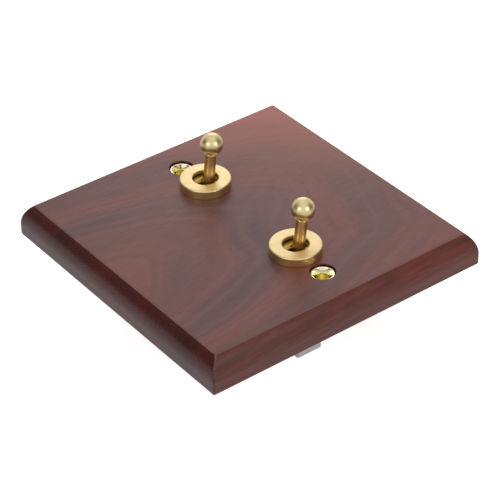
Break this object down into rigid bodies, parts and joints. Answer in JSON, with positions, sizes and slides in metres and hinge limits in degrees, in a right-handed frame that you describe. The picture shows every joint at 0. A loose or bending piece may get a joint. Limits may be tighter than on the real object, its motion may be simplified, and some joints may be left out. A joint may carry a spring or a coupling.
{
  "type": "toggle light switch",
  "caption": "Square walnut wall plate with two brass ball-tip toggle levers in ring nuts and two brass screw eyelets, with both changeover switches behind it.",
  "frame": {"origin": "midway between the two fixing holes, on the plate's back face", "axes": "+Z out of the plate's face, X along the line of the fixings and toggles, Y the way the levers swing"},
  "size_m": [0.086, 0.086, 0.0448],
  "materials": {
    "walnut": "satin oil, open grain",
    "satin_brass": "satin turned",
    "polished_brass": "polished",
    "bright_brass": "bright lacquered",
    "terminal_brass": "plain milled",
    "zinc_steel": "zinc plated",
    "silver_contact": "silver, dull",
    "nylon": "natural nylon",
    "white_plastic": "moulded, slightly glossy"
  },
  "bodies": {
    "housing": {"plate": "walnut", "left_eyelet": "bright_brass", "left_ring_nut": "satin_brass", "left_washer": "zinc_steel", "left_bushing": "satin_brass", "left_pivot_pin": "zinc_steel", "left_frame": "zinc_steel", "left_case": "white_plastic", "left_common_terminal": "terminal_brass", "left_front_terminal": "terminal_brass", "left_back_terminal": "terminal_brass", "left_fixed_buttons": "silver_contact", "left_terminal_screws": "zinc_steel", "right_eyelet": "bright_brass", "right_ring_nut": "satin_brass", "right_washer": "zinc_steel", "right_bushing": "satin_brass", "right_pivot_pin": "zinc_steel", "right_frame": "zinc_steel", "right_case": "white_plastic", "right_common_terminal": "terminal_brass", "right_front_terminal": "terminal_brass", "right_back_terminal": "terminal_brass", "right_fixed_buttons": "silver_contact", "right_terminal_screws": "zinc_steel"},
    "left_lever": {"left_lever": "polished_brass", "left_plunger_spring": "zinc_steel"},
    "left_plunger": {"left_plunger": "nylon"},
    "left_rocker": {"left_rocker": "terminal_brass", "left_rocker_buttons": "silver_contact"},
    "right_lever": {"right_lever": "polished_brass", "right_plunger_spring": "zinc_steel"},
    "right_plunger": {"right_plunger": "nylon"},
    "right_rocker": {"right_rocker": "terminal_brass", "right_rocker_buttons": "silver_contact"}
  },
  "joints": [
    {"name": "left_lever_swing", "type": "hinge", "parent": "housing", "child": "left_lever", "pos_m": [-0.01925, 0, 0.002], "axis": [1, 0, 0], "range_deg": [0, 14]},
    {"name": "left_plunger_slide", "type": "slide", "parent": "left_lever", "child": "left_plunger", "axis": [0, 0.1219, 0.9925], "range_m": [0, 0.0005], "stiffness_N_per_m": 200, "deforming": ["left_plunger_spring"]},
    {"name": "left_rocker_tip", "type": "hinge", "parent": "housing", "child": "left_rocker", "pos_m": [-0.01925, 0, -0.0107], "axis": [1, 0, 0], "range_deg": [-16, 0]},
    {"name": "right_lever_swing", "type": "hinge", "parent": "housing", "child": "right_lever", "pos_m": [0.01925, 0, 0.002], "axis": [1, 0, 0], "range_deg": [0, 14]},
    {"name": "right_plunger_slide", "type": "slide", "parent": "right_lever", "child": "right_plunger", "axis": [0, 0.1219, 0.9925], "range_m": [0, 0.0005], "stiffness_N_per_m": 200, "deforming": ["right_plunger_spring"]},
    {"name": "right_rocker_tip", "type": "hinge", "parent": "housing", "child": "right_rocker", "pos_m": [0.01925, 0, -0.0107], "axis": [1, 0, 0], "range_deg": [-16, 0]}
  ],
  "couplings": [
    {"joint": "left_rocker_tip", "follows": "left_lever_swing", "ratio": -1.1429},
    {"joint": "right_rocker_tip", "follows": "right_lever_swing", "ratio": -1.1429}
  ]
}
